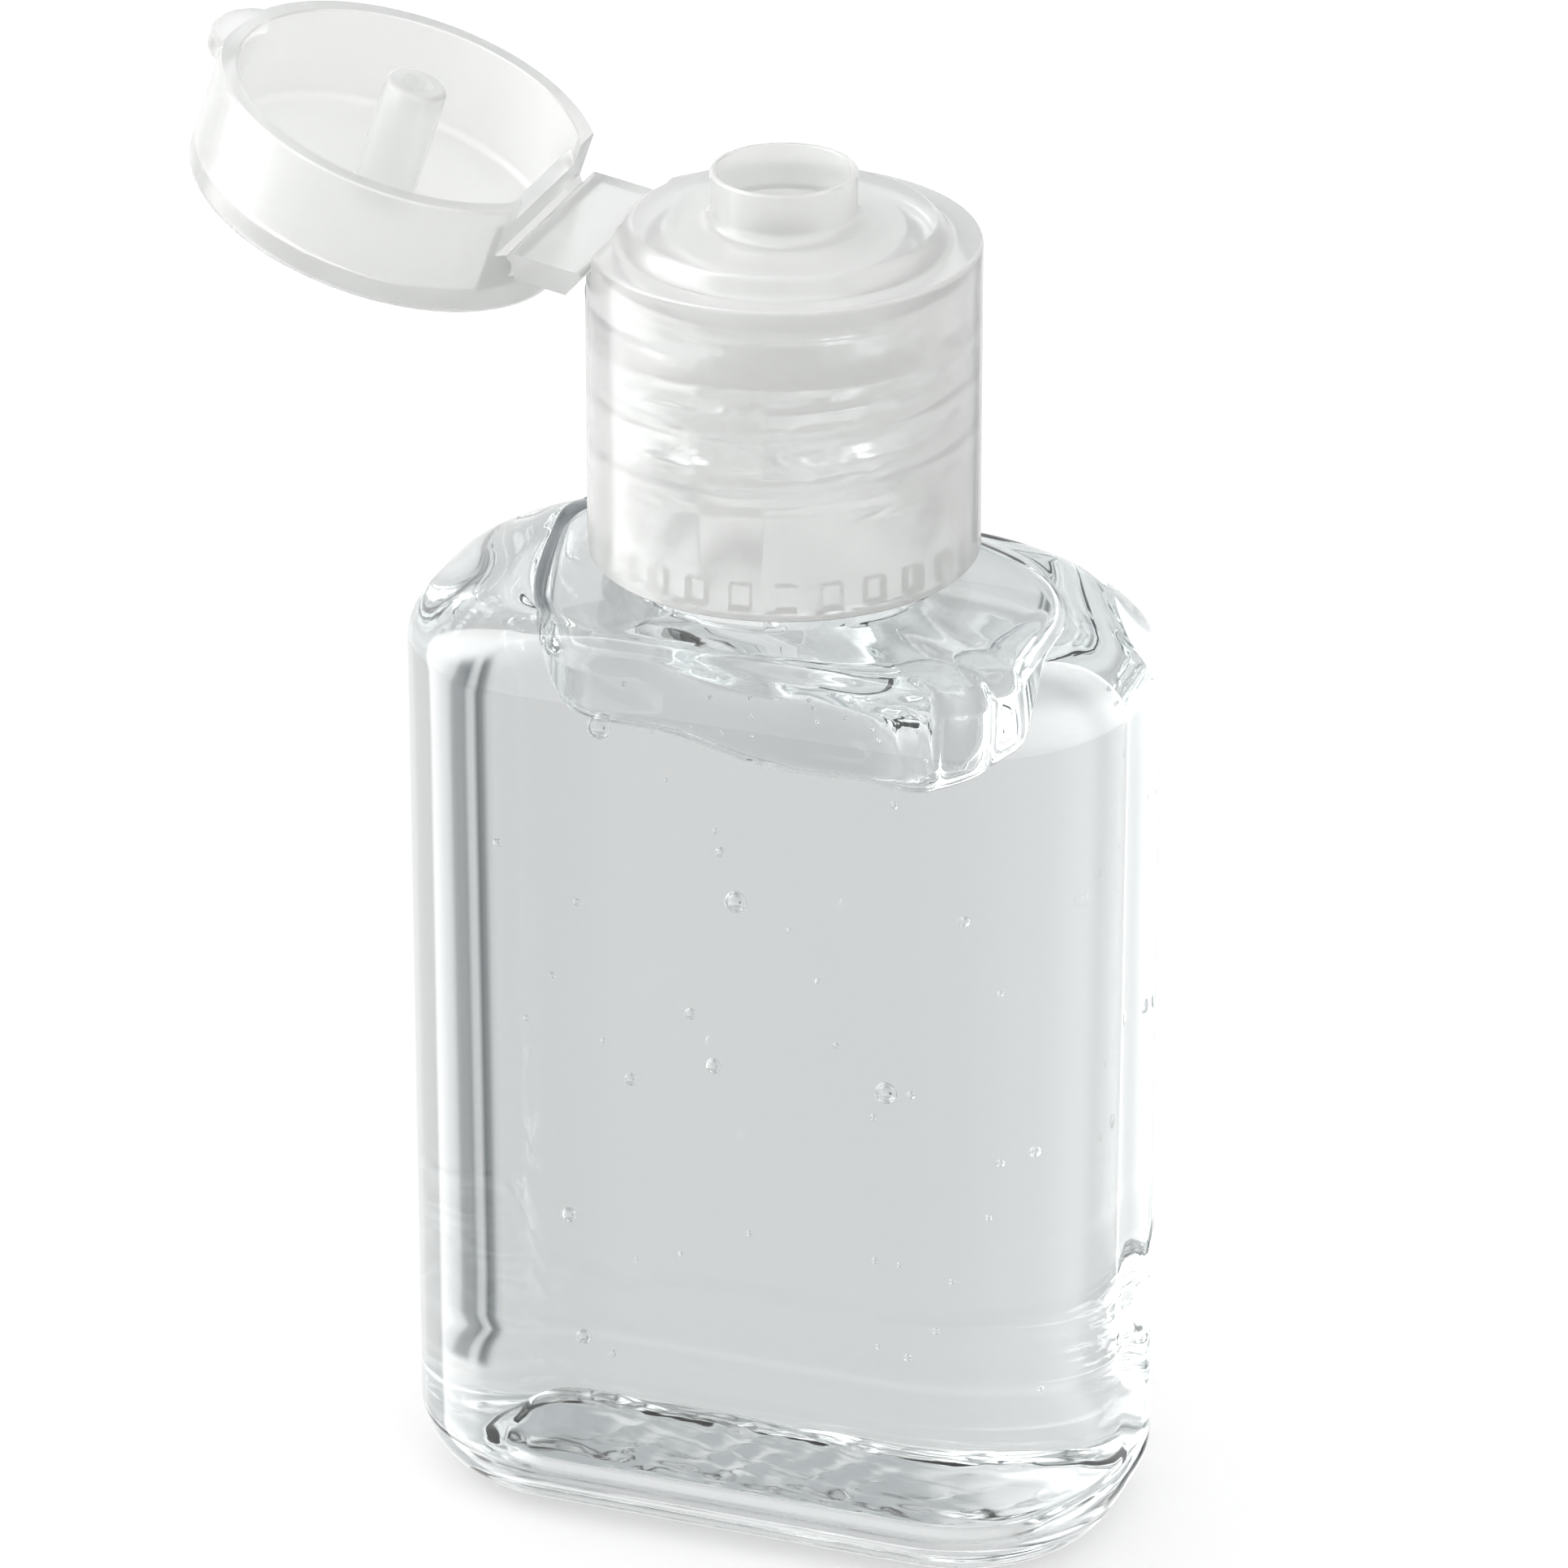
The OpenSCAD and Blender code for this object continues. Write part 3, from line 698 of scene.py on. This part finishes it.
def make_pin():
    """The stopper pin, with the dimple in its tip."""
    tip_z = RIM_Z - PIN_REACH
    pin = [(0.3, MID_TOP_Z), (PIN_R, MID_TOP_Z)]
    pin += [(PIN_R - x, z) for x, z in ((0.0, tip_z + 3.0), (0.0, tip_z + PIN_TIP))]
    pin += arc(PIN_R - PIN_TIP, tip_z + PIN_TIP, PIN_TIP, 0, -90, 6)
    pin += [(DIMPLE_R, tip_z), (DIMPLE_R, tip_z + DIMPLE_DEEP), (0.3, tip_z + DIMPLE_DEEP)]
    return turned("pin", pin, steps=96, loop=False)


def make_tab():
    """The thumb tab: a piece of a disc that sticks out of the lid's wall."""
    tab_r = ((TAB_W / 2) ** 2 + TAB_OUT ** 2) / (2 * TAB_OUT)
    obj = turned("tab", [(0.5, RIM_Z), (tab_r - TAB_EDGE, RIM_Z), (tab_r, RIM_Z + TAB_EDGE),
                         (tab_r, RIM_Z + TAB_T - TAB_EDGE), (tab_r - TAB_EDGE, RIM_Z + TAB_T),
                         (0.5, RIM_Z + TAB_T)], loop=False)
    obj.data.transform(Matrix.Translation(((CAP_R + TAB_OUT - tab_r) * MM, 0, 0)))
    inside = turned("keep", [(0.5, RIM_Z - 1), (MID_WALL_R, RIM_Z - 1), (MID_WALL_R, RIM_Z + 3),
                             (0.5, RIM_Z + 3)], loop=False)
    combine(obj, inside, "DIFFERENCE")
    return obj


def make_lid():
    obj = turned("lid_shell", lid_profile(), loop=False)
    combine(obj, make_chord(), "UNION")
    flat_cut(obj, FLAT_X, RIM_Z - 0.4, LID_SHELF_Z)
    flat_cut(obj, RELIEF_X, LID_SHELF_Z - 0.4, LID_SHELF_Z + RELIEF_H)
    combine(obj, make_pin(), "UNION")
    combine(obj, make_tab(), "UNION")
    lid_fold = (FOLD_X - STRAP_LEN * math.sin(FOLD_OPEN),
                CAP_FOLD_Z + STRAP_LEN * math.cos(FOLD_OPEN))
    opened(obj, lid_fold, 2 * FOLD_OPEN, (FOLD_X, LID_FOLD_Z))
    smooth(obj, 28)
    dress(obj, "lid", "cap_plastic", PP_LID)
    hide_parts("lid")


# Stage, light and camera

def larger(tree, one, other):
    node = tree.nodes.new("ShaderNodeMath")
    node.operation = "MAXIMUM"
    tree.links.new(one, node.inputs[0])
    tree.links.new(other, node.inputs[1])
    return node.outputs[0]


def mirror_or_glass(tree, path):
    """1 for rays that gloss or glass sends on, else 0."""
    return larger(tree, path.outputs["Is Glossy Ray"], path.outputs["Is Transmission Ray"])


def make_floor():
    far = FLOOR_REACH
    corners = [(x, y, FLOOR_Z) for x, y in ((-far, -far), (far, -far), (far, far), (-far, far))]
    obj = add_object("floor", corners, [(0, 1, 2, 3)])
    mat, tree, shader = material("floor_paper")
    shader.inputs["Base Color"].default_value = (0.5, 0.5, 0.5, 1)
    shader.inputs["Roughness"].default_value = 0.9
    shader.inputs["Specular IOR Level"].default_value = 0.1
    shader.inputs["Emission Color"].default_value = (1, 1, 1, 1)
    path = tree.nodes.new("ShaderNodeLightPath")
    lift = tree.nodes.new("ShaderNodeMath")
    lift.operation = "MULTIPLY"
    lift.inputs[1].default_value = FLOOR_LIFT
    seen = larger(tree, path.outputs["Is Camera Ray"], mirror_or_glass(tree, path))
    tree.links.new(seen, lift.inputs[0])
    tree.links.new(lift.outputs[0], shader.inputs["Emission Strength"])
    obj.data.materials.append(mat)
    obj.visible_transmission = obj.visible_glossy = False


def direction(tree, operation, *axes):
    """An angle of the direction looked in, from its named components."""
    coord = tree.nodes.new("ShaderNodeTexCoord")
    split = tree.nodes.new("ShaderNodeSeparateXYZ")
    angle = tree.nodes.new("ShaderNodeMath")
    angle.operation = operation
    tree.links.new(coord.outputs["Generated"], split.inputs[0])
    for k, axis in enumerate(axes):
        tree.links.new(split.outputs[axis], angle.inputs[k])
    return angle.outputs[0]


def by_angle(tree, angle, half_range, stops, peak):
    """Colour by angle from stops of (degrees, level, blueness), as shares of peak."""
    place = tree.nodes.new("ShaderNodeMapRange")
    place.inputs["From Min"].default_value = -math.radians(half_range)
    place.inputs["From Max"].default_value = math.radians(half_range)
    colours = tree.nodes.new("ShaderNodeValToRGB")
    colours.color_ramp.interpolation = "EASE"
    elements = colours.color_ramp.elements
    spots = [(degrees + half_range) / (2 * half_range) for degrees, _, _ in stops]
    for spot in spots[1:-1]:
        elements.new(spot)
    for element, (_, level, blue) in zip(elements, stops):
        share = level / peak
        element.color = (share * (1 - blue), share, share * (1 + blue / 2), 1)
    tree.links.new(angle, place.inputs["Value"])
    tree.links.new(place.outputs["Result"], colours.inputs["Fac"])
    return colours.outputs["Color"]


def multiplied(tree, one, other, share=None):
    node = tree.nodes.new("ShaderNodeMix")
    node.data_type, node.blend_type = "RGBA", "MULTIPLY"
    node.inputs["Factor"].default_value = 1.0
    tree.links.new(one, node.inputs["A"])
    tree.links.new(other, node.inputs["B"])
    if share:
        tree.links.new(share, node.inputs["Factor"])
    return node.outputs["Result"]


def either(tree, which, zero, one):
    """The shader that a ray meets, by a value of 0 or 1."""
    node = tree.nodes.new("ShaderNodeMixShader")
    tree.links.new(which, node.inputs[0])
    tree.links.new(zero, node.inputs[1])
    tree.links.new(one, node.inputs[2])
    return node.outputs[0]


def make_world():
    """White to the camera, an even sky to matt surfaces, and to glass and gloss the studio's walls,
    with a lit one on the left and shaded strips behind."""
    world = bpy.data.worlds.new("studio")
    bpy.context.scene.world = world
    world.use_nodes = True
    tree = world.node_tree
    azimuth = direction(tree, "ARCTAN2", "X", "Y")
    elevation = direction(tree, "ARCSINE", "Z")
    walls = by_angle(tree, azimuth, 180, WALLS, WALL_PEAK)
    heights = by_angle(tree, elevation, 90, HEIGHTS, HEIGHT_PEAK)
    strips = by_angle(tree, azimuth, 180, STRIPS, 1.0)
    there = by_angle(tree, elevation, 90, STRIP_HEIGHTS, 1.0)
    upper = by_angle(tree, azimuth, 180, UPPER, 1.0)
    above = by_angle(tree, elevation, 90, UPPER_HEIGHTS, 1.0)
    light = multiplied(tree, multiplied(tree, walls, heights), strips, there)
    light = multiplied(tree, light, upper, above)
    studio = tree.nodes.new("ShaderNodeBackground")
    studio.inputs["Strength"].default_value = WALL_PEAK * HEIGHT_PEAK
    tree.links.new(light, studio.inputs["Color"])
    sky = tree.nodes.new("ShaderNodeBackground")
    sky.inputs["Strength"].default_value = SKY_LEVEL
    path = tree.nodes.new("ShaderNodeLightPath")
    back = tree.nodes["Background"]
    back.inputs["Color"].default_value = (1, 1, 1, 1)
    seen = either(tree, mirror_or_glass(tree, path), sky.outputs[0], studio.outputs[0])
    final = either(tree, path.outputs["Is Camera Ray"], seen, back.outputs[0])
    tree.links.new(final, tree.nodes["World Output"].inputs["Surface"])


def softbox(name, azimuth, elevation, distance, size, watts):
    """Area light aimed at the object; azimuth runs from -Y towards +X, in degrees."""
    a, e = math.radians(azimuth), math.radians(elevation)
    place = Vector((math.sin(a) * math.cos(e), -math.cos(a) * math.cos(e), math.sin(e))) * distance
    aim = Vector((0, 0, 0.045))
    light = bpy.data.lights.new(name, "AREA")
    light.shape, light.size, light.size_y, light.energy = "RECTANGLE", size[0], size[1], watts
    obj = bpy.data.objects.new(name, light)
    obj.location = place + aim
    obj.rotation_euler = place.to_track_quat("Z", "Y").to_euler()
    obj.visible_glossy = False
    bpy.context.scene.collection.objects.link(obj)


def make_camera():
    data = bpy.data.cameras.new("camera")
    data.lens, data.sensor_width, data.clip_end = CAM_LENS, 36.0, 20.0
    obj = bpy.data.objects.new("camera", data)
    turn = Matrix((CAM_RIGHT, CAM_UP, CAM_BACK)).transposed().to_4x4()
    obj.matrix_world = Matrix.Translation(Vector(CAM_PLACE) * MM) @ turn
    bpy.context.scene.collection.objects.link(obj)
    bpy.context.scene.camera = obj


make_camera()
make_bottle()
make_gel()
make_bubbles()
make_cap()
make_strap()
make_lid()
make_floor()
make_world()
softbox("key", -75, 35, 0.8, (0.5, 0.7), 2.6)
softbox("fill", 60, 45, 0.9, (0.5, 0.5), 0.7)
scene = bpy.context.scene
scene.view_settings.view_transform = "Standard"
scene.cycles.max_bounces = scene.cycles.transmission_bounces = 48
scene.cycles.transparent_max_bounces = 16
scene.cycles.glossy_bounces = 12
scene.cycles.diffuse_bounces = 16

bpy.context.view_layer.update()
